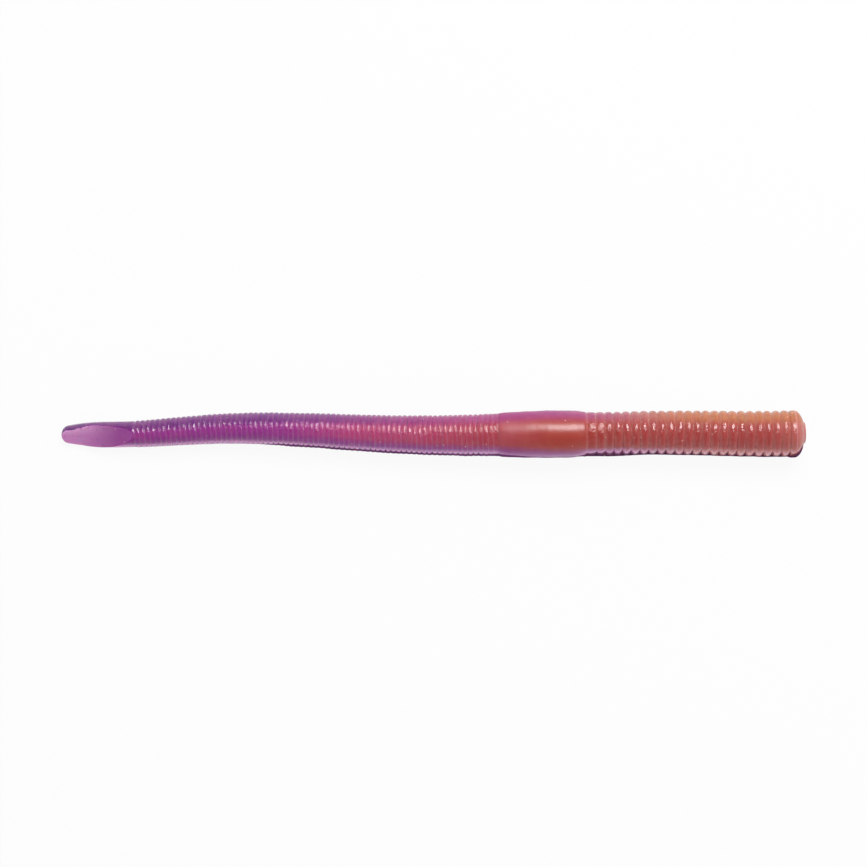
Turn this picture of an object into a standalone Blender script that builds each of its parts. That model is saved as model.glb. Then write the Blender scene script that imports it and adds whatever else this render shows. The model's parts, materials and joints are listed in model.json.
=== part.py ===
"""Soft plastic worm: a ringed fishing lure of two-colour plastisol, lying straight on a flat surface.

A coral core comes in at the nose, fills the front and the saddle, and tapers away inside the purple skin
of the rear. The body is divided at its grooves: stiff lengths of several rings, with one bending ring
between each two, so that the lure can bend sideways and up and down along its whole length.
Metres, +Z up, +X towards the nose, the belly on z = 0.
"""

import math

import bmesh
import bpy
from mathutils import Matrix, Vector

MM = 0.001

# Ringed front, from the saddle to the nose
FRONT_PITCH = 1.81 * MM
FRONT_GROOVE = 0.42 * MM
FRONT_ROOT_RADIUS = 4.37 * MM
FRONT_END_RADIUS = 4.72 * MM
FRONT_LENGTHS = 4
FRONT_RINGS = 4
NOSE_RINGS = 2

# Ringed rear, from the saddle to the tail
REAR_PITCH = 1.045 * MM
REAR_GROOVE = 0.26 * MM
REAR_ROOT_RADIUS = 4.25 * MM
REAR_END_RADIUS = 2.72 * MM
REAR_LENGTHS = 10
REAR_RINGS = 6

# Smooth saddle between them
SADDLE_LENGTH = 17.4 * MM
SADDLE_RADIUS = 4.81 * MM
SADDLE_FRONT_RADIUS = 4.42 * MM
SADDLE_REAR_RADIUS = 4.32 * MM
SADDLE_CREST_AHEAD = 2.6 * MM

# Nose cap: a last band, a dome and the stub of the moulding gate
NOSE_RADIUS = 4.69 * MM
NOSE_BAND = 1.2 * MM
NOSE_DOME = 2.5 * MM
NOSE_EDGE = 0.35 * MM
GATE_RADIUS = 2.2 * MM
GATE_LENGTH = 0.5 * MM

# Tail paddle: a round bar with a blunt tip and one long scooped face
PADDLE_RADIUS = 2.65 * MM
PADDLE_LENGTH = 15.4 * MM
PADDLE_TAPER = 9.6 * MM
TIP_RADIUS = 1.9 * MM
TIP_LENGTH = 1.8 * MM
TIP_HEIGHT = 1.5 * MM
SCOOP_START = 0.9 * MM
SCOOP_DEEPEST = 12.0 * MM
SCOOP_FLOOR = 0.55 * MM
SCOOP_ROLL = math.radians(22.0)

# Core, and the way the stiff lengths meet at a bend
SKIN_WALL = 0.6 * MM
CORE_REACH = 50.0 * MM
CORE_TIP_RADIUS = 0.7 * MM
CORE_TIP_TAPER = 1.6 * MM
NECK_RADIUS = 1.3 * MM
FIT_GAP = 0.3 * MM
BEND_LIMIT = math.radians(24.0)

# Belly, pressed flat by the surface that the lure lies on
BELLY_FLAT = 0.35 * MM
SADDLE_FLAT = 0.7 * MM

# The way the body lies: distance ahead of the saddle's middle, and offset to the side
LIE = (
    (-98.0 * MM, -0.1 * MM),
    (-88.0 * MM, -0.1 * MM),
    (-61.0 * MM, 1.2 * MM),
    (-20.0 * MM, -0.2 * MM),
    (0.0 * MM, 0.0 * MM),
    (25.0 * MM, 0.3 * MM),
    (54.0 * MM, 0.0 * MM),
)

# Share of the pitch and share of the groove's depth at the points of one ring
FRONT_RING_SHAPE = ((0.0, 0.0), (0.28, 1.0), (0.72, 1.0))
REAR_RING_SHAPE = ((0.0, 0.0), (0.5, 1.0))

# Facets of the turned pieces
FRONT_SIDES = 20
REAR_SIDES = 16
CORE_SIDES = 12
ARC_STEPS = 6
MERGE = 0.001 * MM
CUTTER_MARGIN = 20.0 * MM

# Lengths that follow from the sizes above
FRONT_MODULE = (FRONT_RINGS + 1) * FRONT_PITCH
REAR_MODULE = (REAR_RINGS + 1) * REAR_PITCH
FRONT_RINGED = FRONT_LENGTHS * FRONT_MODULE + (NOSE_RINGS + 1) * FRONT_PITCH
REAR_RINGED = REAR_LENGTHS * REAR_MODULE + REAR_PITCH
GATE_SEAT = NOSE_BAND + NOSE_DOME * math.sqrt(1 - (GATE_RADIUS / NOSE_RADIUS) ** 2)
NOSE_LENGTH = GATE_SEAT + GATE_LENGTH
FRONT_REACH = SADDLE_LENGTH / 2 + FRONT_RINGED + NOSE_LENGTH
REAR_REACH = SADDLE_LENGTH / 2 + REAR_RINGED + PADDLE_LENGTH
SADDLE_X = (REAR_REACH - FRONT_REACH) / 2
CORE_RADIUS = (
    min(FRONT_ROOT_RADIUS - FRONT_GROOVE, REAR_ROOT_RADIUS - REAR_GROOVE) - SKIN_WALL - FIT_GAP
)
END_CONE = math.tan(BEND_LIMIT / 2)


def mix(a, b, share):
    return a + (b - a) * share


def front_crest(u):
    """Crest radius of the front rings at a distance from the saddle's middle."""
    return mix(FRONT_ROOT_RADIUS, FRONT_END_RADIUS, (u - SADDLE_LENGTH / 2) / FRONT_RINGED)


def rear_crest(u):
    """Crest radius of the rear rings at a distance from the saddle's middle."""
    return mix(REAR_ROOT_RADIUS, REAR_END_RADIUS, (u - SADDLE_LENGTH / 2) / REAR_RINGED)


def rear_core(u):
    """Radius of the core in the rear, tapering with the distance from the saddle's end."""
    return mix(CORE_RADIUS, CORE_TIP_RADIUS, max(0.0, u - SADDLE_LENGTH / 2) / CORE_REACH)


def side_offset(ahead):
    """Sideways offset of the body's axis, eased from one point of LIE to the next."""
    for (start, low), (end, high) in zip(LIE, LIE[1:]):
        if ahead <= end:
            share = min(1.0, max(0.0, (ahead - start) / (end - start)))
            return mix(low, high, share * share * (3 - 2 * share))
    return LIE[-1][1]


def axis_point(ahead, height):
    return Vector((SADDLE_X + ahead, side_offset(ahead), height))


def facing(origin, along):
    """Matrix with its origin at a point, X along a direction and Z as near to up as it can be."""
    x = along.normalized()
    y = Vector((0, 0, 1)).cross(x).normalized()
    turn = Matrix((x, y, x.cross(y))).transposed()
    return Matrix.Translation(origin) @ turn.to_4x4()


def material(name, colour, roughness):
    made = bpy.data.materials.new(name)
    made.use_nodes = True
    shader = made.node_tree.nodes["Principled BSDF"]
    shader.inputs["Base Color"].default_value = (*colour, 1.0)
    shader.inputs["Roughness"].default_value = roughness
    shader.inputs["Metallic"].default_value = 0.0
    made.diffuse_color = (*colour, 1.0)
    return made


def pivot(name, matrix, parent=None):
    """Empty on a joint, which carries the pieces of one body."""
    empty = bpy.data.objects.new(name, None)
    empty.empty_display_size = 2 * MM
    bpy.context.scene.collection.objects.link(empty)
    hang(empty, parent, matrix)
    return empty


def hang(obj, parent, matrix):
    """Parents an object and puts it at a place in the world."""
    if parent:
        obj.parent = parent
        matrix = parent_matrix(parent).inverted() @ matrix
    obj.matrix_basis = matrix


def parent_matrix(obj):
    """World matrix of an object, worked out from its parents."""
    if obj.parent:
        return parent_matrix(obj.parent) @ obj.matrix_basis
    return obj.matrix_basis.copy()


def add_object(name, mesh, parent, matrix):
    obj = bpy.data.objects.new(name, mesh)
    bpy.context.scene.collection.objects.link(obj)
    hang(obj, parent, matrix)
    return obj


def turned(name, profile, parent, finish, sides, closed=False, matrix=None):
    """Solid turned about its own X axis from points of distance along and radius."""
    mesh = bpy.data.meshes.new(name)
    points = [(along, 0.0, radius) for along, radius in profile]
    edges = [(i, i + 1) for i in range(len(points) - 1)]
    if closed:
        edges.append((len(points) - 1, 0))
    mesh.from_pydata(points, edges, [])
    mesh.materials.append(finish)
    obj = add_object(name, mesh, parent, matrix or parent_matrix(parent))
    screw = obj.modifiers.new("turn", "SCREW")
    screw.axis = "X"
    screw.angle = math.tau
    screw.steps = screw.render_steps = sides
    screw.use_merge_vertices = True
    screw.merge_threshold = MERGE
    screw.use_smooth_shade = True
    return obj


def cut(obj, cutter):
    boolean = obj.modifiers.new(cutter.name, "BOOLEAN")
    boolean.operation = "DIFFERENCE"
    boolean.solver = "EXACT"
    boolean.object = cutter


def as_cutter(obj):
    obj.hide_render = True
    obj.display_type = "WIRE"
    return obj


def table_cutter():
    """Slab under z = 0, which presses every belly flat."""
    mesh = bpy.data.meshes.new("table_cutter")
    form = bmesh.new()
    bmesh.ops.create_cube(form, size=1.0)
    reach = FRONT_REACH + REAR_REACH + CUTTER_MARGIN
    bmesh.ops.scale(form, vec=(reach, CUTTER_MARGIN * 2, CUTTER_MARGIN), verts=form.verts)
    form.to_mesh(mesh)
    form.free()
    return as_cutter(
        add_object("table_cutter", mesh, None, Matrix.Translation((0, 0, -CUTTER_MARGIN / 2)))
    )


def ring_run(start, count, pitch, groove, crest, shape):
    """Outer points of a run of rings, from one groove to another, short of both by half the fit gap."""
    points = []
    for ring in range(count):
        for share, rise in shape:
            at = start + (ring + share) * pitch
            points.append([at, crest(at) - groove * (1 - rise)])
    end = start + count * pitch
    points.append([end, crest(end) - groove])
    points[0][0] += FIT_GAP / 2
    points[-1][0] -= FIT_GAP / 2
    return points


def local(points, origin):
    return [(along - origin, radius) for along, radius in points]


def sleeve(name, outer, bore, parent, finish, sides):
    """Tube with a ringed outside and a bore that clears the core."""
    inner = [(along, bore(along) + FIT_GAP) for along, _ in (outer[0], outer[-1])]
    return turned(name, outer[::-1] + inner, parent, finish, sides, closed=True)


def rod(start, end, start_radius, end_radius):
    """Points of a rod between two bends, with a cone at each end that leaves room to bend."""
    half = FIT_GAP / 2
    return [
        (end - half, 0.0),
        (end - half - end_radius * END_CONE, end_radius),
        (start + half + start_radius * END_CONE, start_radius),
        (start + half, 0.0),
    ]


def bending_ring(name, joint, bore, ring, parent, finish, sides, matrix):
    """One ring of skin around a joint."""
    outer = local(ring_run(joint - ring["pitch"] / 2, 1, **ring), joint)
    inner = [(along, bore + FIT_GAP) for along, _ in (outer[0], outer[-1])]
    return turned(name, outer[::-1] + inner, parent, finish, sides, closed=True, matrix=matrix)


def between(before, after):
    """Matrix at a joint, facing halfway between the lengths on its two sides."""
    along = before.to_3x3().col[0] + after.to_3x3().col[0]
    return facing(after.translation, along)


def saddle_profile():
    """Outer points of the saddle, a barrel with its crest a little ahead of the middle."""
    half = SADDLE_LENGTH / 2
    points = []
    for end, radius in ((-half, SADDLE_REAR_RADIUS), (half, SADDLE_FRONT_RADIUS)):
        side = []
        for step in range(ARC_STEPS + 1):
            angle = step / ARC_STEPS * math.pi / 2
            along = mix(end, SADDLE_CREST_AHEAD, 1 - math.cos(angle))
            side.append((along, mix(radius, SADDLE_RADIUS, math.sin(angle))))
        points += side if end < 0 else side[-2::-1]
    points[0] = (points[0][0] + FIT_GAP / 2, points[0][1])
    points[-1] = (points[-1][0] - FIT_GAP / 2, points[-1][1])
    return points


def nose_profile(base):
    """Points of the nose cap, from the gate's face back to the axis at its base."""
    points = [(base + NOSE_LENGTH, 0.0), (base + NOSE_LENGTH, GATE_RADIUS)]
    seat = math.asin((GATE_SEAT - NOSE_BAND) / NOSE_DOME)
    for step in range(ARC_STEPS + 1):
        angle = seat * (1 - step / ARC_STEPS)
        points.append((base + NOSE_BAND + NOSE_DOME * math.sin(angle), NOSE_RADIUS * math.cos(angle)))
    points.append((base + NOSE_EDGE + FIT_GAP / 2, NOSE_RADIUS))
    points.append((base + FIT_GAP / 2, NOSE_RADIUS - NOSE_EDGE))
    points.append((base + FIT_GAP / 2, 0.0))
    return points


def paddle_profile():
    """Points of the tail paddle before it is scooped, from its tip back to the neck at its joint."""
    root = REAR_PITCH / 2 + FIT_GAP / 2
    tip = REAR_PITCH / 2 + PADDLE_LENGTH
    points = []
    for step in range(ARC_STEPS + 1):
        angle = step / ARC_STEPS * math.pi / 2
        points.append((tip - TIP_LENGTH * (1 - math.cos(angle)), TIP_RADIUS * math.sin(angle)))
    for step in range(1, ARC_STEPS + 1):
        share = step / ARC_STEPS
        along = mix(tip - TIP_LENGTH, tip - PADDLE_TAPER, share)
        points.append((along, mix(TIP_RADIUS, PADDLE_RADIUS, share * (2 - share))))
    points.append((root, PADDLE_RADIUS))
    return points + neck(root, 0.0)


def neck(face, joint):
    """Points from a solid length's end face inward, along its neck to the cone at the joint."""
    towards = 1 if joint > face else -1
    tip = joint - towards * FIT_GAP / 2
    return [(face, NECK_RADIUS), (tip - towards * NECK_RADIUS * END_CONE, NECK_RADIUS), (tip, 0.0)]


def scoop_cutter(parent):
    """Block whose underside is the paddle's long hollow face, rolled to one side."""
    mesh = bpy.data.meshes.new("scoop_cutter")
    root = REAR_PITCH / 2
    run = SCOOP_DEEPEST - SCOOP_START
    steps = ARC_STEPS * 2
    outline = []
    for step in range(steps + 1):
        back = mix(1.2, 0.0, step / steps)
        outline.append((root + SCOOP_DEEPEST - run * back, mix(SCOOP_FLOOR, PADDLE_RADIUS, back * back)))
    far = root + PADDLE_LENGTH + CUTTER_MARGIN
    outline += [(far, SCOOP_FLOOR), (far, CUTTER_MARGIN), (outline[0][0], CUTTER_MARGIN)]
    form = bmesh.new()
    face = form.faces.new([form.verts.new((x, -CUTTER_MARGIN, z)) for x, z in outline])
    pulled = bmesh.ops.extrude_face_region(form, geom=[face])["geom"]
    moved = [item for item in pulled if isinstance(item, bmesh.types.BMVert)]
    bmesh.ops.translate(form, vec=(0, CUTTER_MARGIN * 2, 0), verts=moved)
    bmesh.ops.recalc_face_normals(form, faces=form.faces)
    form.to_mesh(mesh)
    form.free()
    turn = Matrix.Rotation(-SCOOP_ROLL, 4, "X")
    return as_cutter(add_object("scoop_cutter", mesh, parent, parent_matrix(parent) @ turn))


def joint_frames(stations, heights, end, end_height, sign):
    """World matrices at a row of joints, each facing the next, with the last facing the end of the body."""
    spots = [axis_point(sign * u, height) for u, height in zip(stations, heights)]
    spots.append(axis_point(sign * end, end_height))
    return [facing(spot, after - spot) for spot, after in zip(spots, spots[1:])]


def build_saddle(front_joint, rear_joint, skin, coral, table):
    """Root body: the saddle and the stretch of core inside it, between its two joints."""
    along = front_joint.translation - rear_joint.translation
    rear_part = SADDLE_LENGTH / 2 + REAR_PITCH / 2
    front_part = SADDLE_LENGTH / 2 + FRONT_PITCH / 2
    centre = rear_joint.translation + along * (rear_part / (rear_part + front_part))
    root = pivot("saddle", facing(centre, along))
    shell = sleeve("saddle_sleeve", saddle_profile(), lambda _: CORE_RADIUS, root, skin, FRONT_SIDES)
    cut(shell, table)
    core = rod(-rear_part, front_part, CORE_RADIUS, CORE_RADIUS)
    turned("saddle_core", core, root, coral, CORE_SIDES)
    return root


def build_front(root, frames, stations, skin, coral, table):
    """Front lengths, outward from the saddle, and the nose."""
    ring = dict(pitch=FRONT_PITCH, groove=FRONT_GROOVE, crest=front_crest, shape=FRONT_RING_SHAPE)
    before = parent_matrix(root)
    parent = root
    for index, (frame, station) in enumerate(zip(frames, stations)):
        last = index == FRONT_LENGTHS
        label = "nose" if last else f"front_{index + 1}"
        rings_name = "nose_rings" if last else f"front_rings_{index + 1}"
        core_name = "nose_core" if last else f"front_core_{index + 1}"
        count = NOSE_RINGS if last else FRONT_RINGS
        parent = pivot(label, frame, parent)
        flex_name = f"front_flex_ring_{index + 1}"
        cut(
            bending_ring(
                flex_name, station, CORE_RADIUS, ring, parent, skin, FRONT_SIDES, between(before, frame)
            ),
            table,
        )
        outer = local(ring_run(station + FRONT_PITCH / 2, count, **ring), station)
        cut(sleeve(rings_name, outer, lambda _: CORE_RADIUS, parent, skin, FRONT_SIDES), table)
        base = (count + 0.5) * FRONT_PITCH
        reach = base if last else FRONT_MODULE
        turned(core_name, rod(0.0, reach, CORE_RADIUS, CORE_RADIUS), parent, coral, CORE_SIDES)
        before = frame
    cut(turned("nose_cap", nose_profile(base), parent, coral, FRONT_SIDES), table)


def rear_length(index, station, outer, parent, skin, coral):
    """One rear length: a sleeve on its core, a sleeve that ends the core, or solid skin."""
    name = f"rear_rings_{index + 1}"
    core_end = SADDLE_LENGTH / 2 + CORE_REACH
    if station + REAR_MODULE <= core_end:
        core = rod(0.0, REAR_MODULE, rear_core(station), rear_core(station + REAR_MODULE))
        turned(f"rear_core_{index + 1}", core, parent, coral, CORE_SIDES)
        return sleeve(name, outer, lambda u: rear_core(station + u), parent, skin, REAR_SIDES)
    tail_side = neck(outer[-1][0], REAR_MODULE)[::-1]
    if core_end - station > outer[0][0] + CORE_TIP_TAPER:
        end = core_end - station
        start_radius = rear_core(station)
        tip = [(end, 0.0), (end - CORE_TIP_TAPER, CORE_TIP_RADIUS)]
        turned(
            f"rear_core_{index + 1}",
            tip + rod(0.0, end, start_radius, CORE_TIP_RADIUS)[2:],
            parent,
            coral,
            CORE_SIDES,
        )
        mouth = outer[0][0]
        hole = [
            (mouth, rear_core(station + mouth) + FIT_GAP),
            (end - CORE_TIP_TAPER, CORE_TIP_RADIUS + FIT_GAP),
            (end + FIT_GAP, 0.0),
        ]
        return turned(name, tail_side + outer[::-1] + hole, parent, skin, REAR_SIDES)
    solid = tail_side + outer[::-1] + neck(outer[0][0], 0.0)
    return turned(name, solid, parent, skin, REAR_SIDES)


def build_rear(root, frames, stations, skin, coral, table):
    """Rear lengths, outward from the saddle, and the tail paddle."""
    ring = dict(pitch=REAR_PITCH, groove=REAR_GROOVE, crest=rear_crest, shape=REAR_RING_SHAPE)
    core_end = SADDLE_LENGTH / 2 + CORE_REACH
    saddle = parent_matrix(root)
    before = facing(saddle.translation, -saddle.to_3x3().col[0])
    parent = root
    for index, (frame, station) in enumerate(zip(frames, stations)):
        last = index == REAR_LENGTHS
        parent = pivot("tail" if last else f"rear_{index + 1}", frame, parent)
        bore = rear_core(station) if station <= core_end else NECK_RADIUS
        flex_name = f"rear_flex_ring_{index + 1}"
        cut(
            bending_ring(
                flex_name, station, bore, ring, parent, skin, REAR_SIDES, between(before, frame)
            ),
            table,
        )
        if last:
            length = turned("tail_paddle", paddle_profile(), parent, skin, REAR_SIDES)
            cut(length, scoop_cutter(parent))
        else:
            outer = local(ring_run(station + REAR_PITCH / 2, REAR_RINGS, **ring), station)
            length = rear_length(index, station, outer, parent, skin, coral)
        cut(length, table)
        before = frame


def main():
    for obj in list(bpy.data.objects):
        bpy.data.objects.remove(obj, do_unlink=True)
    purple = material("purple_plastisol", (0.27, 0.045, 0.23), 0.25)
    rose = material("rose_plastisol", (0.42, 0.085, 0.085), 0.25)
    coral = material("coral_plastisol", (0.43, 0.1, 0.07), 0.3)
    table = table_cutter()
    saddle_height = SADDLE_RADIUS - SADDLE_FLAT
    first_front = SADDLE_LENGTH / 2 + FRONT_PITCH / 2
    first_rear = SADDLE_LENGTH / 2 + REAR_PITCH / 2
    front_stations = [first_front + i * FRONT_MODULE for i in range(FRONT_LENGTHS + 1)]
    rear_stations = [first_rear + i * REAR_MODULE for i in range(REAR_LENGTHS + 1)]
    front_heights = [saddle_height] + [front_crest(u) - BELLY_FLAT for u in front_stations[1:]]
    rear_heights = [saddle_height] + [rear_crest(u) - BELLY_FLAT for u in rear_stations[1:]]
    nose_height = front_heights[-1]
    front_frames = joint_frames(front_stations, front_heights, FRONT_REACH, nose_height, 1)
    rear_frames = joint_frames(rear_stations, rear_heights, REAR_REACH, TIP_HEIGHT, -1)
    root = build_saddle(front_frames[0], rear_frames[0], rose, coral, table)
    build_front(root, front_frames, front_stations, rose, coral, table)
    build_rear(root, rear_frames, rear_stations, purple, coral, table)


main()
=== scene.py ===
"""Looks of the soft plastic worm: ringed skin, coral core, scooped tail and round nose, on a pale floor."""

import json
import math

import bpy
import numpy as np
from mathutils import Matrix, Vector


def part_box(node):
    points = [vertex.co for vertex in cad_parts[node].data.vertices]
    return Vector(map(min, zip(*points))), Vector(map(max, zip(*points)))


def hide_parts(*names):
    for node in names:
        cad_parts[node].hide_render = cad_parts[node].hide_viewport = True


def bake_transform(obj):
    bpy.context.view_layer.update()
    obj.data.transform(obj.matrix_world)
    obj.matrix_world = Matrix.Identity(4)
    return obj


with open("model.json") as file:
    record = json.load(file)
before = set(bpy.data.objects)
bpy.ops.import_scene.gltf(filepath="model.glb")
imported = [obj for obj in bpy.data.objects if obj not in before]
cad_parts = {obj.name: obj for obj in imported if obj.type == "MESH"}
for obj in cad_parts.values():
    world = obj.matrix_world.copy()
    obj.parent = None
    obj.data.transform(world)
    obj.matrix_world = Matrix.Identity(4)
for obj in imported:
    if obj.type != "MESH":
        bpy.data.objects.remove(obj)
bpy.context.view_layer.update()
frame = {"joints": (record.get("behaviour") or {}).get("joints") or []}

MM = 0.001
TAU = math.tau

# Body, in millimetres, measured along it from the saddle's middle and positive towards the nose
SADDLE_REAR = -8.58
SADDLE_FRONT = 9.33
SADDLE_RADIUS = 4.81
SADDLE_CREST = 2.6
SADDLE_ENDS = (4.36, 4.46)
SADDLE_SHOULDER = 2.6
SADDLE_FALL = 6.7
SADDLE_EDGE = 0.6
SADDLE_GROOVES = (0.2, 0.3)
FRONT_PITCH = 1.8
FRONT_RINGS = 23
FRONT_GROOVE = 0.42
FRONT_RADII = (4.37, 4.72)
FRONT_SHARPNESS = 2.4
FRONT_UNEVEN = 0.08
FRONT_FADE = (0.3, 0.55, 0.75, 0.9)
REAR_PITCH = 1.0486
REAR_RINGS = 71
REAR_GROOVE = 0.25
REAR_RADII = (4.32, 2.74)
REAR_SHARPNESS = 4.0
REAR_UNEVEN = 0.12
REAR_FADE = (0.85, 0.65, 0.4, 0.2)
REAR_CALM = 0.4
NOSE_RADIUS = 4.69
NOSE_BAND = 0.95
NOSE_DOME = 2.3
NOSE_EDGE = 0.5
NOSE_GROOVE = 0.8
NOSE_SET_BACK = 0.4
GATE_RADIUS = 2.25
GATE_FADE = 0.6
# Edge of the gate stub: steps ahead of its seat, and shares of its radius
GATE_RIM = ((0.01, 0.975), (0.06, 0.96), (0.2, 0.955), (0.27, 0.93), (0.3, 0.86), (0.3, 0.5), (0.29, 0.12))
# Places along the body of two pale lines painted across the nose as highlights
NOSE_HIGHLIGHT_LINES = (51.95, 53.65)
PADDLE_RADIUS = 2.65
PADDLE_LENGTH = 15.4
TIP_RADIUS = 1.9
TIP_LENGTH = 1.7
PADDLE_TAPER = 9.6
SCOOP_START = 0.2
SCOOP_RAMP = 10.0
SCOOP_CURVE = 1.7
SCOOP_FLOOR = 0.84
SCOOP_ROLLS = (math.radians(6.0), math.radians(23.0), math.radians(37.0))
SCOOP_EDGE = 0.05
RUFFLE = 0.10

# Parting ridge of the -Y side: how far it stands out along the body, and how far the skin above it lies in
RIDGE_SADDLE, RIDGE_SHOULDER, RIDGE_FRONT, RIDGE_NOSE, RIDGE_REAR = 0.07, 0.26, 0.05, 0.28, 0.12
INSET_SADDLE, INSET_SHOULDER, INSET_FRONT, INSET_NOSE, INSET_REAR = 0.1, 0.15, 0.2, 0.35, 0.24

# Unevenness of the casting: sideways drift of the rings, slow waves and fine waves
RING_DRIFT, SLOW_WAVES, FINE_WAVES = 0.035, 0.022, 0.008
BELLY_PRESS = 0.05

# Middle of the two saddle joints ahead of the saddle's middle, and share of an end's radius that is its face
JOINT_MIDDLE = 0.191
END_FACE = 0.55
FRONT_END = SADDLE_FRONT + FRONT_RINGS * FRONT_PITCH
REAR_END = SADDLE_REAR - REAR_RINGS * REAR_PITCH

# Samples of the skin
AROUND = 120
FRONT_SAMPLES = 12
REAR_SAMPLES = 8
TIP_ROWS, TAPER_ROWS, PADDLE_ROWS = 14, 22, 20
SADDLE_ROWS, BAND_ROWS, DOME_ROWS = 52, 8, 18
TANGENT_STEP = 0.2

rng = np.random.default_rng(7)


def ease(x):
    x = np.clip(x, 0.0, 1.0)
    return x * x * (3 - 2 * x)


def mix(a, b, t):
    return a + (b - a) * t


def bump(x, start, end, soft):
    """1 between start and end, easing to 0 within soft on each side."""
    return ease((x - start + soft) / soft) * ease((end + soft - x) / soft)


# The line that the body follows, through the joints of the frame
def body_axis():
    joints = {j["child"]: np.array(j["pos_m"]) / MM for j in frame["joints"]}
    saddle_x = (joints["front_1"][0] + joints["rear_1"][0]) / 2 - JOINT_MIDDLE
    spots = sorted(joints.values(), key=lambda p: p[0])
    tail_low, tail_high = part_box("tail_paddle")
    nose_low, nose_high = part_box("nose_cap")
    tip = np.array([tail_low.x / MM, (tail_low.y + tail_high.y) / 2 / MM - 0.1, 1.5])
    nose = np.array([nose_high.x / MM, (nose_low.y + nose_high.y) / 2 / MM + 0.25, joints["nose"][2]])
    knots = np.array([tip, *spots, nose])
    return saddle_x, knots, joints


SADDLE_X, KNOTS, JOINTS = body_axis()


def centre_at(x):
    """Centres of the body, on a smooth line through the knots."""
    kx = KNOTS[:, 0]
    slope = np.gradient(KNOTS, kx, axis=0)
    i = np.clip(np.searchsorted(kx, x) - 1, 0, len(kx) - 2)
    h = (kx[i + 1] - kx[i])[:, None]
    t = ((x - kx[i])[:, None]) / h
    a, b = KNOTS[i], KNOTS[i + 1]
    sa, sb = slope[i] * h, slope[i + 1] * h
    inside = (
        a * (1 + 2 * t) * (1 - t) ** 2
        + sa * t * (1 - t) ** 2
        + b * t * t * (3 - 2 * t)
        + sb * t * t * (t - 1)
    )
    centre = np.where((t >= 0) & (t <= 1), inside, np.where(t < 0, a + sa * t, b + sb * (t - 1)))
    centre[:, 0] = x
    return centre


def axis_at(ahead):
    """Centre, sideways and upward directions of the body's cross sections."""
    x = SADDLE_X + ahead
    centre = centre_at(x)
    along = centre_at(x + TANGENT_STEP) - centre_at(x - TANGENT_STEP)
    along /= np.linalg.norm(along, axis=1)[:, None]
    side = np.cross(np.array([0.0, 0.0, 1.0]), along)
    side /= np.linalg.norm(side, axis=1)[:, None]
    up = np.cross(along, side)
    return centre, side, up


def ring_shares(samples, spread=0.55):
    g = np.arange(samples) / samples
    return g - spread * np.sin(TAU * g) / TAU


def paddle_rows():
    """Rows of the tail, from the tip inwards."""
    tip = REAR_END - PADDLE_LENGTH
    rows = []
    for angle in np.linspace(0.06, math.pi / 2, TIP_ROWS):
        rows.append((tip + TIP_LENGTH * (1 - math.cos(angle)), TIP_RADIUS * math.sin(angle), 0.0, 0.5))
    for step in np.linspace(0, 1, TAPER_ROWS)[1:]:
        at = mix(tip + TIP_LENGTH, tip + PADDLE_TAPER, step)
        rows.append((at, mix(TIP_RADIUS, PADDLE_RADIUS, step * (2 - step)), 0.0, 0.5))
    for step in np.linspace(0, 1, PADDLE_ROWS)[1:-1]:
        rows.append((mix(tip + PADDLE_TAPER, REAR_END, step), PADDLE_RADIUS, 0.0, 0.5))
    return rows


def rear_rows():
    """Rows of the fine rings, from the tail to the saddle."""
    depth = 1 + REAR_UNEVEN * rng.standard_normal(REAR_RINGS)
    depth[-len(REAR_FADE) :] *= REAR_FADE
    rows = []
    for ring in range(REAR_RINGS):
        for share in ring_shares(REAR_SAMPLES):
            at = REAR_END + (ring + share) * REAR_PITCH
            crest = mix(REAR_RADII[1], REAR_RADII[0], (at - REAR_END) / (REAR_RINGS * REAR_PITCH))
            cut = abs(2 * share - 1) ** REAR_SHARPNESS
            rows.append((at, crest, cut * REAR_GROOVE * depth[ring], share))
    return rows


def saddle_rows():
    """Rows of the smooth saddle, easing into the rings at both ends."""
    rows = []
    for step in np.linspace(0, 1, SADDLE_ROWS)[:-1]:
        at = mix(SADDLE_REAR, SADDLE_FRONT, step)
        if at < SADDLE_CREST:
            away = (SADDLE_CREST - at) / (SADDLE_CREST - SADDLE_REAR)
            crest = mix(SADDLE_RADIUS, SADDLE_ENDS[0], away**2)
        else:
            drop = float(ease((at - SADDLE_FRONT + SADDLE_SHOULDER) / SADDLE_SHOULDER))
            fall = ((at - SADDLE_CREST) / SADDLE_FALL) ** 2
            crest = mix(SADDLE_RADIUS, SADDLE_ENDS[1], 0.2 * fall + 0.8 * drop)
        gap = min(at - SADDLE_REAR, SADDLE_FRONT - at)
        groove = FRONT_GROOVE * SADDLE_GROOVES[1] if at > 0 else REAR_GROOVE * SADDLE_GROOVES[0]
        rows.append((at, crest, groove * max(0.0, 1 - gap / SADDLE_EDGE) ** 2, 0.5))
    return rows


def front_rows():
    """Rows of the broad rings, from the saddle to the nose."""
    depth = 1 + FRONT_UNEVEN * rng.standard_normal(FRONT_RINGS)
    depth[: len(FRONT_FADE)] *= FRONT_FADE
    rows = []
    for ring in range(FRONT_RINGS):
        for share in ring_shares(FRONT_SAMPLES):
            at = SADDLE_FRONT + (ring + share) * FRONT_PITCH
            crest = mix(FRONT_RADII[0], FRONT_RADII[1], (at - SADDLE_FRONT) / (FRONT_END - SADDLE_FRONT))
            cut = abs(2 * share - 1) ** FRONT_SHARPNESS
            rows.append((at, crest, cut * FRONT_GROOVE * depth[ring], share))
    return rows


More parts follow.
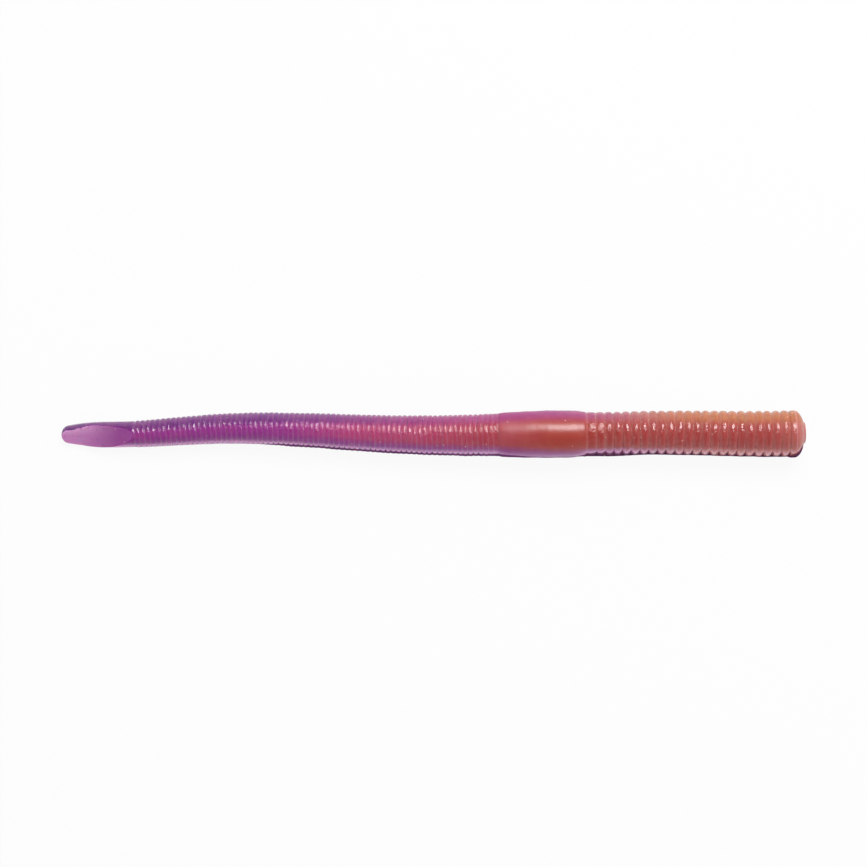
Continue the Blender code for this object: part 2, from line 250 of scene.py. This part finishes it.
def nose_rows():
    """Rows of the nose band, the dome and the flat stub left by the gate."""
    rows = []
    for step in np.linspace(0, 1, BAND_ROWS)[:-1]:
        at = FRONT_END + NOSE_BAND * step
        edge = max(0.0, 1 - step * NOSE_BAND / NOSE_EDGE)
        rows.append((at, NOSE_RADIUS, FRONT_GROOVE * NOSE_GROOVE * edge**2, 0.5))
    seat = math.acos(GATE_RADIUS / NOSE_RADIUS)
    for angle in np.linspace(0, seat, DOME_ROWS):
        at = FRONT_END + NOSE_BAND + NOSE_DOME * math.sin(angle)
        rows.append((at, NOSE_RADIUS * math.cos(angle), 0.0, 0.5))
    seat_at = rows[-1][0]
    for along, share in GATE_RIM:
        rows.append((seat_at + along, GATE_RADIUS * share, 0.0, 0.5))
    return rows


def rows_of_body():
    """Rows of the skin from tail to nose: place along, crest radius, groove depth and place in the ring."""
    return np.array(paddle_rows() + rear_rows() + saddle_rows() + front_rows() + nose_rows())


ROWS = rows_of_body()
AHEAD, CREST, CUT, PHASE = ROWS.T


def spread_angles():
    """Angles around the body, measured from the top towards +Y, closer together near both sides."""
    theta = np.linspace(-math.pi, math.pi, 720, endpoint=False)
    weight = 1.0 + 1.6 * np.exp(-(((np.abs(theta) - math.radians(91)) / 0.2) ** 2))
    total = np.concatenate([[0.0], np.cumsum(weight)])
    wanted = np.linspace(0, total[-1], AROUND, endpoint=False)
    return np.interp(wanted, total, np.append(theta, math.pi))


THETA = spread_angles()


def waves(a, t, count, rate, turn, seed):
    """Smooth seeded unevenness over the skin, about 1 high."""
    draw = np.random.default_rng(seed)
    total = np.zeros(np.broadcast(a, t).shape)
    for _ in range(count):
        k = draw.normal(0, rate)
        n = draw.integers(0, turn + 1)
        total = total + np.sin(k * a + n * t + draw.uniform(0, TAU))
    return total / math.sqrt(count / 2)


def parting_ridge(a, t):
    """Masks of the ridge and of the skin above the belly, then the sizes of the ridge and of its inset."""
    above_belly = ease((math.radians(106) + t) / math.radians(9))
    low = ease((-t - math.radians(86.5)) / math.radians(4.5)) * above_belly
    lip_size = (
        RIDGE_SHOULDER * bump(a, SADDLE_FRONT + 0.5, 14.0, 8.0) * ease((a - 7.0) / 2.5)
        + RIDGE_FRONT * bump(a, 14.0, FRONT_END + 2.0, 6.0)
        + RIDGE_NOSE * bump(a, FRONT_END + 0.4, FRONT_END + 3.0, 1.0)
        + RIDGE_REAR * bump(a, -50.0, -10.0, 10.0)
        + RIDGE_SADDLE * bump(a, -8.0, 6.0, 2.0)
    )
    inset = (
        INSET_FRONT * bump(a, SADDLE_FRONT + 1, FRONT_END, 3.0)
        + INSET_NOSE * bump(a, FRONT_END + 1.2, FRONT_END + 4, 1.6)
        + INSET_REAR * bump(a, -50.0, -10.0, 10.0)
        + INSET_SADDLE * bump(a, -8.0, 8.0, 2.0)
        + INSET_SHOULDER * bump(a, SADDLE_FRONT + 1, 13.0, 2.0)
    )
    inset = inset * ease((-t - math.radians(55)) / math.radians(30)) * above_belly
    return low, above_belly, lip_size, inset


def scooped(a, t, lateral, height):
    """The cross sections with the tail's face cut in, leaning towards -Y and more so at the tip."""
    u = REAR_END - a
    back = np.clip(1 - (u - SCOOP_START) / SCOOP_RAMP, 0.0, 1.3)
    floor = mix(SCOOP_FLOOR, PADDLE_RADIUS, back**SCOOP_CURVE)
    roll = mix(SCOOP_ROLLS[0], SCOOP_ROLLS[1], ease(u / 8.3))
    roll = mix(roll, SCOOP_ROLLS[2], ease((u - 8.8) / 2.8))
    c, s = np.cos(roll), np.sin(roll)
    over = height * c - lateral * s
    ruffle = RUFFLE * waves(a, t, 8, 4.5, 6, 21) * ease((u - 7.5) / 2.5) * ease((lateral - 0.5) / 0.6)
    drop = SCOOP_EDGE * np.logaddexp(0.0, (over - floor - ruffle) / SCOOP_EDGE) * (u > 0)
    return lateral + drop * s, height - drop * c, drop


def skin_surface():
    """Places of the skin's points, with the fields and masks that its material reads."""
    a = AHEAD[:, None]
    t = THETA[None, :]
    crest, cut = CREST[:, None], CUT[:, None]
    low, above_belly, lip_size, inset = parting_ridge(a, t)
    off_gate = ease((crest - GATE_RADIUS) / GATE_FADE)
    inset = inset * off_gate
    lip = low * lip_size * off_gate
    # Notches between the rings, deeper towards the ridge, which fills them
    notches = bump(a, SADDLE_FRONT - 0.5, FRONT_END + 0.8, 0.6) + 0.7 * bump(a, REAR_END, -9.0, 1.0)
    notches = np.clip(notches, 0, 1)
    fill = low * notches
    scallop = 1 + 0.7 * ease((-t - math.radians(45)) / math.radians(40)) * above_belly * notches
    # Grooves of the rear that are shallower on top, below the highlights
    calm = 1 - REAR_CALM * bump(t, math.radians(-60), math.radians(-8), math.radians(20)) * (a < SADDLE_REAR)
    radius = crest - cut * scallop * calm * (1 - fill) + lip - inset * (1 - low)
    thick = np.clip(crest / 4, 0, 1) ** 2
    radius = radius + SLOW_WAVES * waves(a, t, 9, 0.9, 3, 5) * thick
    radius = radius + FINE_WAVES * waves(a, t, 14, 3.2, 7, 6) * thick
    lateral, height, drop = scooped(a, t, radius * np.sin(t), radius * np.cos(t))
    # Drift of the rings, and the upper half of the nose set back a little on the -Y side
    ringed = bump(a, REAR_END, SADDLE_REAR, 0.3) + bump(a, SADDLE_FRONT, FRONT_END, 0.3)
    shift = RING_DRIFT * waves(a, t, 6, 0.5, 2, 11)
    set_back = NOSE_SET_BACK * bump(a, FRONT_END + 1.2, FRONT_END + 2.6, 0.8) * (1 - low)
    set_back = set_back * ease((-t - math.radians(30)) / math.radians(50)) * above_belly
    moved = np.zeros((*lateral.shape, 3))
    moved[..., 0] = shift * ringed - set_back
    centre, side, up = axis_at(AHEAD)
    place = centre[:, None, :] + side[:, None, :] * lateral[..., None]
    place = place + up[:, None, :] * height[..., None] + moved
    # Belly pressed flat on the floor
    place[..., 2] = 0.5 * (place[..., 2] + np.sqrt(place[..., 2] ** 2 + BELLY_PRESS**2))
    masks = {
        "groove": np.broadcast_to(np.abs(2 * PHASE[:, None] - 1) ** 5 * (1 - fill), lateral.shape),
        "seam": np.clip(1.6 * low, 0, 1) * ease(lip_size / 0.05) * off_gate,
        "scoop": ease(drop / 0.12),
    }
    full = np.ones(lateral.shape)
    flow = np.stack([a * full, lateral, height], axis=-1)
    # Way that the skin faces, shrinking towards the middle of both end faces
    facing = np.clip(CREST / (END_FACE * np.where(AHEAD > 0, NOSE_RADIUS, TIP_RADIUS)), 0, 1)[:, None]
    turn = np.stack([np.sin(t) * facing, np.cos(t) * facing, 0 * full], axis=-1)
    return place, {"flow": flow, "turn": turn}, masks


PLACE, FIELDS, MASKS = skin_surface()


def grid_normals(place):
    along = np.gradient(place, axis=0)
    around = (np.roll(place, -1, axis=1) - np.roll(place, 1, axis=1)) / 2
    normal = np.cross(around, along)
    size = np.linalg.norm(normal, axis=2, keepdims=True)
    normal = normal / np.maximum(size, 1e-12)
    centre = place.mean(axis=1, keepdims=True)
    outward = (normal * (place - centre)).sum(axis=2).mean()
    return normal if outward > 0 else -normal


NORMAL = grid_normals(PLACE)


def add_mesh(name, points, faces, normals, fields, masks, material):
    mesh = bpy.data.meshes.new(name)
    mesh.from_pydata(points * MM, [], faces)
    mesh.polygons.foreach_set("use_smooth", np.ones(len(faces), bool))
    for key, values in fields.items():
        layer = mesh.attributes.new(key, "FLOAT_VECTOR", "POINT")
        layer.data.foreach_set("vector", values.astype(np.float32).ravel())
    for key, values in masks.items():
        layer = mesh.attributes.new(key, "FLOAT", "POINT")
        layer.data.foreach_set("value", values.astype(np.float32).ravel())
    mesh.materials.append(material)
    mesh.update()
    mesh.normals_split_custom_set_from_vertices(normals.tolist())
    obj = bpy.data.objects.new(name, mesh)
    bpy.context.scene.collection.objects.link(obj)
    return obj


def skin_piece(name, first, last, material, close_tail=False, close_nose=False):
    """Rows first to last of the skin as one piece."""
    count = last - first + 1
    take = slice(first, last + 1)
    points = PLACE[take].reshape(-1, 3)
    normals = NORMAL[take].reshape(-1, 3)
    fields = {key: value[take].reshape(-1, 3) for key, value in FIELDS.items()}
    masks = {key: value[take].reshape(-1) for key, value in MASKS.items()}
    i, j = np.meshgrid(np.arange(count - 1), np.arange(AROUND), indexing="ij")
    k = (j + 1) % AROUND
    near, far = i * AROUND, (i + 1) * AROUND
    faces = np.stack([near + j, far + j, far + k, near + k], axis=-1).reshape(-1, 4).tolist()
    for wanted, row, way in ((close_tail, 0, 1), (close_nose, count - 1, -1)):
        if not wanted:
            continue
        ring = slice(row * AROUND, (row + 1) * AROUND)
        middle = len(points)
        points = np.vstack([points, points[ring].mean(axis=0)])
        normals = np.vstack([normals, [[-way, 0.0, 0.0]]])
        fields = {key: np.vstack([value, value[ring].mean(axis=0)]) for key, value in fields.items()}
        masks = {key: np.append(value, value[ring].mean()) for key, value in masks.items()}
        for j0 in range(AROUND):
            a, b = row * AROUND + j0, row * AROUND + (j0 + 1) % AROUND
            faces.append([middle, a, b] if way > 0 else [middle, b, a])
    return add_mesh(name, points, faces, normals, fields, masks, material)


def nearest_row(ahead):
    return int(np.argmin(np.abs(AHEAD - ahead)))


def hexed(code):
    """Linear colour of a colour code."""
    parts = [int(code[i : i + 2], 16) / 255 for i in (0, 2, 4)]
    return [p / 12.92 if p <= 0.04045 else ((p + 0.055) / 1.055) ** 2.4 for p in parts]


class Nodes:
    """Short hand for building a node material."""

    def __init__(self, name):
        self.material = bpy.data.materials.new(name)
        self.material.use_nodes = True
        self.tree = self.material.node_tree
        self.tree.nodes.clear()

    def add(self, kind, **settings):
        node = self.tree.nodes.new(kind)
        for key, value in settings.items():
            setattr(node, key, value)
        return node

    def link(self, out, into):
        self.tree.links.new(out, into)

    def put(self, socket, value):
        if hasattr(value, "is_output"):
            self.link(value, socket)
        elif hasattr(value, "__len__") and len(value) == 3 and socket.type == "RGBA":
            socket.default_value = (*value, 1.0)
        else:
            socket.default_value = value

    def math(self, operation, *values, clamp=False):
        node = self.add("ShaderNodeMath", operation=operation, use_clamp=clamp)
        for socket, value in zip(node.inputs, values):
            self.put(socket, value)
        return node.outputs[0]

    def split(self, vector):
        node = self.add("ShaderNodeSeparateXYZ")
        self.link(vector, node.inputs[0])
        return node.outputs

    def attribute(self, name):
        return self.add("ShaderNodeAttribute", attribute_name=name)

    def mix(self, share, a, b):
        node = self.add("ShaderNodeMix", data_type="RGBA", clamp_factor=True)
        self.put(node.inputs[0], share)
        self.put(node.inputs[6], a)
        self.put(node.inputs[7], b)
        return node.outputs[2]

    def span(self, value, low, high, to_low=0.0, to_high=1.0, smooth=True):
        node = self.add("ShaderNodeMapRange", interpolation_type="SMOOTHSTEP" if smooth else "LINEAR")
        for socket, v in zip(node.inputs, (value, low, high, to_low, to_high)):
            self.put(socket, v)
        return node.outputs[0]

    def curve(self, value, points):
        """Straight runs between points of (value, result)."""
        low, high = points[0][0], points[-1][0]
        node = self.add("ShaderNodeValToRGB")
        ramp = node.color_ramp
        while len(ramp.elements) < len(points):
            ramp.elements.new(0.5)
        for element, (at, result) in zip(ramp.elements, points):
            element.position = (at - low) / (high - low)
            element.color = (result, result, result, 1.0)
        self.put(node.inputs[0], self.span(value, low, high, smooth=False))
        return node.outputs[0]

    def noise(self, vector, scale, detail=2.0, roughness=0.5):
        node = self.add("ShaderNodeTexNoise")
        self.put(node.inputs["Vector"], vector)
        node.inputs["Scale"].default_value = scale
        node.inputs["Detail"].default_value = detail
        node.inputs["Roughness"].default_value = roughness
        return node.outputs[0]

    def dots(self, vector, scale, radius, share):
        """Round spots of this radius, in a share of the cells of a seeded pattern."""
        node = self.add("ShaderNodeTexVoronoi")
        self.put(node.inputs["Vector"], vector)
        node.inputs["Scale"].default_value = scale
        inside = self.span(node.outputs["Distance"], radius * scale, 0.6 * radius * scale)
        chosen = self.math("LESS_THAN", self.split(node.outputs["Color"])[0], share)
        return self.math("MULTIPLY", inside, chosen)


# Pigments, with colours of painted light and shade among them
PURPLE = hexed("a5389b")
VIOLET = hexed("761a80")
MAGENTA = hexed("a42c7c")
ROSE = hexed("c24e8a")
CORAL = hexed("b8453a")
BRICK = hexed("b44a48")
PEACH = hexed("c07346")
MAUVE_GLOW = hexed("bc6ca8")
SALMON_GLOW = hexed("e48c84")
PLUM_SHADE = hexed("641260")
FACE_TIP_GLOW_BRIGHT = hexed("f9bcf0")
INDIGO = hexed("982696")
RIM_LIGHT_LILAC = hexed("f0a4e8")
BLUSH_LIGHT = hexed("f0a8b4")
SCARLET = hexed("e02818")
CREAM = hexed("ffd8d0")
NOSE_PINK = hexed("c87068")
GROOVE_LIGHT_LILAC = hexed("d880c4")
GROOVE_LIGHT_PINK = hexed("e89890")
TAIL_FLANK = hexed("6a1c7c")
FACE_INNER = hexed("aa4da7")
FACE_TIP_GLOW = hexed("e495da")
SPECKS = hexed("8a3a90")
CLOUD = hexed("ffa090")

# How far the core shows to each side, as shares of the radius at places along the body
REACH_UP = ((-62, 0.25), (-45, 0.42), (-28, 0.5), (-10, 0.57), (2, 0.64), (14, 0.6), (30, 0.5))
REACH_DOWN = ((-62, 0.4), (-45, 0.44), (-28, 0.5), (-10, 0.61), (2, 0.73), (14, 0.79))


def body_colour(n, ahead, side):
    """Purple skin with the coral core showing through: a tongue in the rear that widens towards the front.
    The lower (-Y) flank is painted paler towards the front, as painted light glowing through the far side.
    """
    upper = n.mix(n.span(ahead, -55, -12), VIOLET, MAGENTA)
    upper = n.mix(n.span(ahead, 2, 34), upper, PEACH)
    middle = n.mix(n.span(ahead, -57, -36), PURPLE, ROSE)
    middle = n.mix(n.span(ahead, -42, 2, smooth=False), middle, CORAL)
    middle = n.mix(n.span(ahead, 6, 14), middle, BRICK)
    middle = n.mix(n.span(ahead, 46, 54), middle, NOSE_PINK)
    # Lower (-Y) flank: painted light, paler towards the front, for light glowing through the far side
    lower = n.mix(n.span(ahead, 2, 14), INDIGO, MAUVE_GLOW)
    lower = n.mix(n.span(ahead, 16, 38), lower, SALMON_GLOW)
    reach_up = n.curve(ahead, REACH_UP)
    reach_down = n.curve(ahead, REACH_DOWN)
    above = n.math("SUBTRACT", side, reach_up)
    below = n.math("SUBTRACT", n.math("MULTIPLY", side, -1.0), reach_down)
    beyond = n.math("MAXIMUM", above, below)
    flanks = n.mix(n.span(side, -0.15, 0.15), lower, upper)
    return n.mix(n.span(beyond, -0.22, 0.24), middle, flanks)


def edge_colour(n, colour, flow, ahead, side, upward):
    """Grooves and lower edge painted paler as painted light, over a ledge and belly in a darker purple that
    is partly painted shade.
    """
    # Grooves painted paler: painted light, against the shade in them and for light scattered through the thin
    # plastic
    groove = n.attribute("groove").outputs["Fac"]
    pale = n.mix(n.span(ahead, -30, 8), GROOVE_LIGHT_LILAC, GROOVE_LIGHT_PINK)
    colour = n.mix(n.math("MULTIPLY", groove, n.span(ahead, -14, -6, 0.24, 0.34)), colour, pale)
    # Lower -Y edge painted paler, less on the saddle: a painted rim of light glowing through the thin edge
    edge = n.math("MULTIPLY", n.span(side, -0.66, -0.93), n.span(upward, 0.04, 0.3))
    plain = n.math("MULTIPLY", n.span(ahead, -11, -6), n.span(ahead, 10, 7))
    rim_light = n.math("MULTIPLY", edge, n.span(plain, 0, 1, 0.85, 0.25))
    colour = n.mix(rim_light, colour, n.mix(n.span(ahead, 8, 34), RIM_LIGHT_LILAC, BLUSH_LIGHT))
    # Two pale lines across the nose: painted highlights
    for line in NOSE_HIGHLIGHT_LINES:
        near = n.math("ABSOLUTE", n.math("SUBTRACT", ahead, line))
        colour = n.mix(n.span(near, 0.16, 0.05, 0.0, 0.45), colour, BLUSH_LIGHT)
    # Belly and ridge in a darker purple: the lower half's own purple, deepened towards the front as painted
    # shade
    under = n.mix(n.span(ahead, -12, 8), VIOLET, PLUM_SHADE)
    wavy = n.math("ADD", upward, n.span(n.noise(flow, 0.5, 2.0), 0.3, 0.7, -0.2, 0.2))
    belly = n.math("MULTIPLY", n.span(wavy, 0.0, -0.7), n.span(upward, 0.0, -0.2))
    below_ridge = n.math("MULTIPLY", n.span(side, 0.0, -0.5), n.span(upward, 0.0, -0.16))
    belly = n.math("MAXIMUM", belly, below_ridge)
    belly = n.math("MAXIMUM", belly, n.attribute("seam").outputs["Fac"])
    return n.mix(belly, colour, under)


def tail_colour(n, colour, flow, ahead, side, scoop):
    """Scooped face of the tail, specked, under a dark flank. The face is painted palest at the tip and on its
    +Y side, painted light shining through the thin plastic.
    """
    crinkled = n.math("ADD", ahead, n.span(n.noise(flow, 1.6), 0.3, 0.7, -0.6, 0.6))
    flank = n.math("MULTIPLY", n.span(crinkled, -92.2, -93.6), n.span(side, 0.1, 0.4))
    colour = n.mix(n.math("MULTIPLY", flank, 0.7), colour, TAIL_FLANK)
    # Face painted paler towards the tip and the +Y side: painted light through the thin tip
    lit_tip = n.mix(n.span(side, -0.6, 0.5), FACE_TIP_GLOW, FACE_TIP_GLOW_BRIGHT)
    face = n.mix(n.span(ahead, -85, -97), FACE_INNER, lit_tip)
    specks = n.span(n.noise(flow, 1.5, 1.0), 0.6, 0.72, 0.0, 0.35)
    face = n.mix(n.math("MULTIPLY", specks, n.span(ahead, -86, -90)), face, SPECKS)
    return n.mix(scoop, colour, face)


def flecked(n, colour, flow):
    """Cloudy plastic with a few red flecks and tiny pale bubbles."""
    cloud = n.noise(flow, 0.55, 3.0)
    colour = n.mix(n.span(cloud, 0.35, 0.7, 0.0, 0.05), colour, CLOUD)
    colour = n.mix(n.dots(flow, 0.5, 0.17, 0.3), colour, SCARLET)
    return n.mix(n.math("MULTIPLY", n.dots(flow, 0.7, 0.14, 0.4), 0.7), colour, CREAM)


def skin_roughness(n, ahead, upward, saddle, scoop, seam):
    """Glossy rings, with a satin saddle, scoop and nose and a dull belly and ridge."""
    rings = n.span(ahead, -8, 10, 0.08, 0.14)
    rough = n.math("MULTIPLY_ADD", saddle, n.span(ahead, -8, 6, 0.38, 0.18), rings)
    rough = n.math("MAXIMUM", rough, n.math("MULTIPLY", scoop, 0.38))
    rough = n.math("MAXIMUM", rough, n.span(ahead, NOSE_HIGHLIGHT_LINES[0] - 0.6, NOSE_HIGHLIGHT_LINES[0], 0.0, 0.34))
    rough = n.math("MAXIMUM", rough, n.span(upward, -0.05, -0.3, 0.0, 0.45))
    return n.math("MAXIMUM", rough, n.math("MULTIPLY", seam, 0.7))


def skin_material():
    n = Nodes("worm_skin")
    flow = n.attribute("flow").outputs["Vector"]
    ahead = n.split(flow)[0]
    side, upward, _ = n.split(n.attribute("turn").outputs["Vector"])
    seam = n.attribute("seam").outputs["Fac"]
    scoop = n.attribute("scoop").outputs["Fac"]
    colour = body_colour(n, ahead, side)
    colour = edge_colour(n, colour, flow, ahead, side, upward)
    colour = tail_colour(n, colour, flow, ahead, side, scoop)
    shader = n.add("ShaderNodeBsdfPrincipled")
    n.put(shader.inputs["Base Color"], flecked(n, colour, flow))
    saddle = n.math("MULTIPLY", n.span(ahead, -8.9, -8.5), n.span(ahead, 9.6, 9.2))
    n.put(shader.inputs["Roughness"], skin_roughness(n, ahead, upward, saddle, scoop, seam))
    shader.inputs["IOR"].default_value = 1.5
    shader.inputs["Specular IOR Level"].default_value = 0.75
    shader.inputs["Subsurface Weight"].default_value = 0.8
    shader.inputs["Subsurface Radius"].default_value = (1.0, 0.4, 0.7)
    shader.inputs["Subsurface Scale"].default_value = 0.0008
    bumped = n.add("ShaderNodeBump")
    bumped.inputs["Distance"].default_value = 0.0001
    n.put(bumped.inputs["Strength"], n.span(n.math("MAXIMUM", saddle, scoop), 0, 1, 1.0, 0.15))
    n.put(bumped.inputs["Height"], n.noise(flow, 2.6, 1.0, 0.5))
    n.link(bumped.outputs[0], shader.inputs["Normal"])
    out = n.add("ShaderNodeOutputMaterial")
    n.link(shader.outputs[0], out.inputs[0])
    return n.material


SKIN = skin_material()


def joint_ahead(body):
    return JOINTS[body][0] - SADDLE_X


FRONT_BODIES = ["saddle", "front_1", "front_2", "front_3", "front_4", "nose"]
REAR_BODIES = ["saddle"] + [f"rear_{i}" for i in range(1, 11)] + ["tail"]

# Half the length of a piece to each side of its joint, and a share of that half from which end places along
# the body are worked out
FRONT_HALF = FRONT_PITCH * 2.5
REAR_HALF = REAR_PITCH * 3.5
BEND_SHARE = 0.98


def build_skin():
    """Lengths of skin, each reaching across one joint. The saddle belongs to the first one of the front."""
    for bodies, sign, step in ((FRONT_BODIES, 1, FRONT_HALF), (REAR_BODIES, -1, REAR_HALF)):
        near = nearest_row(SADDLE_REAR)
        for number, (parent, child) in enumerate(zip(bodies, bodies[1:]), 1):
            last = child == bodies[-1]
            at = joint_ahead(child)
            far = nearest_row(at + sign * step)
            if last:
                far = len(AHEAD) - 1 if sign > 0 else 0
            first, final = min(near, far), max(near, far)
            name = f"skin_{child}"
            obj = skin_piece(name, first, final, SKIN, last and sign < 0, last and sign > 0)
            start, end = at - sign * step * BEND_SHARE, at + sign * step * BEND_SHARE
            if sign < 0:
                start = min(start, SADDLE_REAR)
            centre, _, _ = axis_at(np.array([start, end]))
            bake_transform(obj)
            side = "front" if sign > 0 else "rear"
            nodes = [f"{side}_flex_ring_{number}"]
            if child == "nose":
                nodes += ["nose_rings", "nose_cap"]
            elif child == "tail":
                nodes += ["tail_paddle"]
            else:
                nodes += [f"{side}_rings_{number}"]
            if parent == "saddle" and sign > 0:
                nodes += ["saddle_sleeve"]
            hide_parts(*nodes)
            near = far


build_skin()


# Coral core inside the skin, in millimetres
CORE_RADIUS = 3.0
CORE_TIP = 0.68
CORE_REACH = 50.0
CORE_NOSE_GAP = 0.6
CORE_AROUND = 32
CORE_ROWS = 25
REAR_CORES = 7


def core_material():
    n = Nodes("coral_core")
    flow = n.attribute("flow").outputs["Vector"]
    colour = n.mix(n.span(n.noise(flow, 0.7, 3.0), 0.3, 0.7), CORAL, PEACH)
    shader = n.add("ShaderNodeBsdfPrincipled")
    n.put(shader.inputs["Base Color"], colour)
    shader.inputs["Roughness"].default_value = 0.4
    out = n.add("ShaderNodeOutputMaterial")
    n.link(shader.outputs[0], out.inputs[0])
    return n.material


def core_piece(name, start, end, material):
    """A closed length of the coral core."""
    at = np.linspace(start, end, CORE_ROWS)
    behind = np.clip((SADDLE_REAR - at) / CORE_REACH, 0, 1)
    radius = mix(CORE_RADIUS, CORE_TIP, behind)[:, None]
    angle = np.linspace(0, TAU, CORE_AROUND, endpoint=False)[None, :]
    lateral, height = radius * np.sin(angle), radius * np.cos(angle)
    centre, side, up = axis_at(at)
    side, up = side[:, None, :], up[:, None, :]
    place = centre[:, None, :] + side * lateral[..., None] + up * height[..., None]
    outward = side * np.sin(angle)[..., None] + up * np.cos(angle)[..., None]
    flow = np.stack([at[:, None] + 0 * lateral, lateral, height], axis=-1)
    i, j = np.meshgrid(np.arange(CORE_ROWS - 1), np.arange(CORE_AROUND), indexing="ij")
    k = (j + 1) % CORE_AROUND
    wide = CORE_AROUND
    faces = np.stack([i * wide + j, (i + 1) * wide + j, (i + 1) * wide + k, i * wide + k], axis=-1)
    faces = faces.reshape(-1, 4).tolist()
    faces.append(list(range(wide)))
    faces.append([(CORE_ROWS - 1) * wide + j for j in reversed(range(wide))])
    fields = {"flow": flow.reshape(-1, 3)}
    return add_mesh(name, place.reshape(-1, 3), faces, outward.reshape(-1, 3), fields, {}, material)


def build_core():
    """Lengths of core, each reaching across one joint."""
    material = core_material()
    tip = SADDLE_REAR - CORE_REACH
    for bodies, sign, step, end in (
        (FRONT_BODIES, 1, FRONT_HALF, FRONT_END - CORE_NOSE_GAP),
        (REAR_BODIES[: REAR_CORES + 1], -1, REAR_HALF, tip),
    ):
        near = 0.0
        for number, (parent, child) in enumerate(zip(bodies, bodies[1:]), 1):
            at = joint_ahead(child)
            far = end if child == bodies[-1] else at + sign * step
            name = f"core_{child}"
            side = "front" if sign > 0 else "rear"
            node = "nose_core" if child == "nose" else f"{side}_core_{number}"
            obj = core_piece(name, min(near, far), max(near, far), material)
            start, stop = at - sign * step * BEND_SHARE, at + sign * step * BEND_SHARE
            centre, _, _ = axis_at(np.array([start, stop]))
            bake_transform(obj)
            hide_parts(node, *(["saddle_core"] if parent == "saddle" and sign > 0 else []))
            near = far


build_core()


# Pale floor, in metres, which shows nearly white and keeps a share of the shadow
FLOOR_HALF = 2.0
FLOOR_DROP = 0.00005
FLOOR_GREY = 0.92
FLOOR_GLOW = 0.93


def build_stage():
    mesh = bpy.data.meshes.new("floor")
    corners = [(x * FLOOR_HALF, y * FLOOR_HALF, 0) for x, y in ((-1, -1), (1, -1), (1, 1), (-1, 1))]
    mesh.from_pydata(corners, [], [(0, 1, 2, 3)])
    floor = bpy.data.objects.new("floor", mesh)
    floor.location.z = -FLOOR_DROP
    bpy.context.scene.collection.objects.link(floor)
    n = Nodes("pale_floor")
    path = n.add("ShaderNodeLightPath")
    diffuse = n.add("ShaderNodeBsdfDiffuse")
    diffuse.inputs[0].default_value = (FLOOR_GREY, FLOOR_GREY, FLOOR_GREY, 1)
    glow = n.add("ShaderNodeEmission")
    glow.inputs[0].default_value = (1, 1, 1, 1)
    glow.inputs[1].default_value = 1.0
    seen = path.outputs["Is Camera Ray"]
    for kind in ("Is Glossy Ray", "Is Transmission Ray"):
        seen = n.math("MAXIMUM", seen, path.outputs[kind])
    share = n.math("MULTIPLY", seen, FLOOR_GLOW)
    blend = n.add("ShaderNodeMixShader")
    n.link(share, blend.inputs[0])
    n.link(diffuse.outputs[0], blend.inputs[1])
    n.link(glow.outputs[0], blend.inputs[2])
    out = n.add("ShaderNodeOutputMaterial")
    n.link(blend.outputs[0], out.inputs[0])
    mesh.materials.append(n.material)


# Light of the sky by the height that is looked at, from the horizon to overhead
SKY = ((0.0, 1.0), (0.16, 1.0), (0.35, 0.5), (1.0, 0.1))

# Soft lamp, in metres and watts, above the worm and leaning towards +Y
LAMP_SIZE = (0.36, 0.28)
LAMP_AHEAD = 0.14
LAMP_DISTANCE = 0.65
LAMP_LEAN = math.radians(33.5)
LAMP_WATTS = 3.2


def build_light():
    scene = bpy.context.scene
    world = bpy.data.worlds.new("studio")
    world.use_nodes = True
    scene.world = world
    tree = world.node_tree
    place = tree.nodes.new("ShaderNodeTexCoord")
    split = tree.nodes.new("ShaderNodeSeparateXYZ")
    tree.links.new(place.outputs["Generated"], split.inputs[0])
    sky = tree.nodes.new("ShaderNodeValToRGB")
    while len(sky.color_ramp.elements) < len(SKY):
        sky.color_ramp.elements.new(0.5)
    for element, (height, level) in zip(sky.color_ramp.elements, SKY):
        element.position = height
        element.color = (level, level, level, 1.0)
    tree.links.new(split.outputs[2], sky.inputs[0])
    tree.links.new(sky.outputs[0], tree.nodes["Background"].inputs[0])
    lamp = bpy.data.lights.new("softbox", "AREA")
    lamp.shape = "RECTANGLE"
    lamp.size, lamp.size_y = LAMP_SIZE
    lamp.energy = LAMP_WATTS
    obj = bpy.data.objects.new("softbox", lamp)
    out, up = LAMP_DISTANCE * math.sin(LAMP_LEAN), LAMP_DISTANCE * math.cos(LAMP_LEAN)
    obj.location = (LAMP_AHEAD, out, up)
    obj.rotation_euler = (-LAMP_LEAN, 0.0, 0.0)
    scene.collection.objects.link(obj)


# Camera straight above, in metres, with its sensor and lens in millimetres
CAMERA_PLACE = (0.00005, 0.00012, 0.604)
SENSOR_WIDTH = 36.0
LENS = 121.7


def build_camera():
    data = bpy.data.cameras.new("camera")
    data.sensor_width = SENSOR_WIDTH
    data.lens = LENS
    camera = bpy.data.objects.new("camera", data)
    camera.location = CAMERA_PLACE
    bpy.context.scene.collection.objects.link(camera)
    bpy.context.scene.camera = camera


build_stage()
build_light()
build_camera()

bpy.context.scene.view_settings.view_transform = "Standard"
